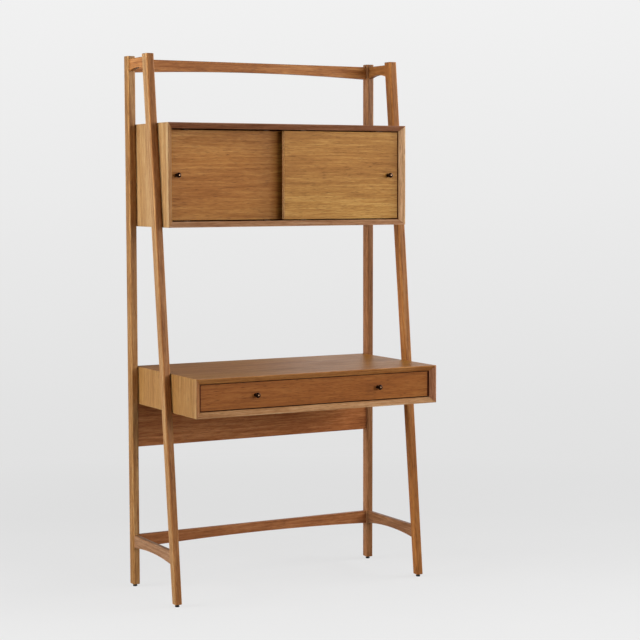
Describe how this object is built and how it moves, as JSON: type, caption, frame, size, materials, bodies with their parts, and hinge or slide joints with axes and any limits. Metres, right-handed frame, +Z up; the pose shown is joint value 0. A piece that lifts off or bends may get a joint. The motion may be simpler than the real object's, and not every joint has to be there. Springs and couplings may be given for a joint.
{
  "type": "wall desk",
  "caption": "Ladder-shaped wall desk: upright rear and leaning front legs carry a desk case with a wide drawer and a cabinet with sliding doors.",
  "frame": {"origin": "on the floor under the middle of the bounding box", "axes": "+X to the right as seen from the front, +Y to the back (towards the wall), +Z up"},
  "size_m": [0.973, 0.508, 1.829],
  "materials": {
    "leg_wood": "satin stained hardwood",
    "case_wood": "satin stained veneer",
    "front_wood": "satin stained veneer",
    "drawer_box_wood": "clear lacquered pale wood",
    "thin_board": "thin veneered board",
    "dowel_wood": "plain turned wood",
    "knob_bronze": "dark bronze, satin",
    "zinc_steel": "bright zinc",
    "foot_plastic": "matt black",
    "glide_plastic": "brown nylon",
    "track_aluminium": "bronze anodised"
  },
  "bodies": {
    "frame": {"bottom_back_rail": "leg_wood", "bottom_side_rail_left": "leg_wood", "bottom_side_rail_right": "leg_wood", "cabinet_back": "thin_board", "cabinet_bottom": "case_wood", "cabinet_side_left": "case_wood", "cabinet_side_right": "case_wood", "cabinet_top": "case_wood", "case_bolts": "zinc_steel", "desk_back": "thin_board", "desk_bottom": "case_wood", "desk_side_left": "case_wood", "desk_side_right": "case_wood", "desk_top": "case_wood", "frame_dowels": "dowel_wood", "front_leg_left": "leg_wood", "front_leg_right": "leg_wood", "leg_inserts": "zinc_steel", "leveller_inserts": "zinc_steel", "lower_front_track": "track_aluminium", "lower_rear_track": "track_aluminium", "modesty_panel": "leg_wood", "rear_leg_left": "leg_wood", "rear_leg_right": "leg_wood", "runner_outer_left": "zinc_steel", "runner_outer_right": "zinc_steel", "top_back_rail": "leg_wood", "top_side_rail_left": "leg_wood", "top_side_rail_right": "leg_wood", "upper_front_track": "track_aluminium", "upper_rear_track": "track_aluminium"},
    "door_left": {"door_left": "front_wood", "door_left_glides": "glide_plastic", "door_left_knob": "knob_bronze", "door_left_knob_screw": "zinc_steel"},
    "door_right": {"door_right": "front_wood", "door_right_glides": "glide_plastic", "door_right_knob": "knob_bronze", "door_right_knob_screw": "zinc_steel"},
    "drawer": {"drawer_back": "drawer_box_wood", "drawer_bottom": "thin_board", "drawer_front": "front_wood", "drawer_knob_left": "knob_bronze", "drawer_knob_right": "knob_bronze", "drawer_knob_screws": "zinc_steel", "drawer_side_left": "drawer_box_wood", "drawer_side_right": "drawer_box_wood", "runner_inner_left": "zinc_steel", "runner_inner_right": "zinc_steel"},
    "runner_middle_left": {"runner_middle_left": "zinc_steel"},
    "runner_middle_right": {"runner_middle_right": "zinc_steel"},
    "leveller_front_left": {"leveller_front_left": "foot_plastic"},
    "leveller_front_right": {"leveller_front_right": "foot_plastic"},
    "leveller_rear_left": {"leveller_rear_left": "foot_plastic"},
    "leveller_rear_right": {"leveller_rear_right": "foot_plastic"}
  },
  "joints": [
    {"name": "door_left_slide", "type": "slide", "parent": "frame", "child": "door_left", "axis": [1, 0, 0], "range_m": [0, 0.421]},
    {"name": "door_right_slide", "type": "slide", "parent": "frame", "child": "door_right", "axis": [-1, 0, 0], "range_m": [0, 0.421]},
    {"name": "drawer_slide", "type": "slide", "parent": "frame", "child": "drawer", "axis": [0, -1, 0], "range_m": [0, 0.36]},
    {"name": "runner_middle_left_slide", "type": "slide", "parent": "frame", "child": "runner_middle_left", "axis": [0, -1, 0], "range_m": [0, 0.18]},
    {"name": "runner_middle_right_slide", "type": "slide", "parent": "frame", "child": "runner_middle_right", "axis": [0, -1, 0], "range_m": [0, 0.18]},
    {"name": "leveller_front_left_travel", "type": "slide", "parent": "frame", "child": "leveller_front_left", "axis": [0, 0, -1], "range_m": [0, 0.01]},
    {"name": "leveller_front_right_travel", "type": "slide", "parent": "frame", "child": "leveller_front_right", "axis": [0, 0, -1], "range_m": [0, 0.01]},
    {"name": "leveller_rear_left_travel", "type": "slide", "parent": "frame", "child": "leveller_rear_left", "axis": [0, 0, -1], "range_m": [0, 0.01]},
    {"name": "leveller_rear_right_travel", "type": "slide", "parent": "frame", "child": "leveller_rear_right", "axis": [0, 0, -1], "range_m": [0, 0.01]}
  ],
  "couplings": [
    {"joint": "runner_middle_left_slide", "follows": "drawer_slide", "ratio": 0.5},
    {"joint": "runner_middle_right_slide", "follows": "drawer_slide", "ratio": 0.5}
  ]
}
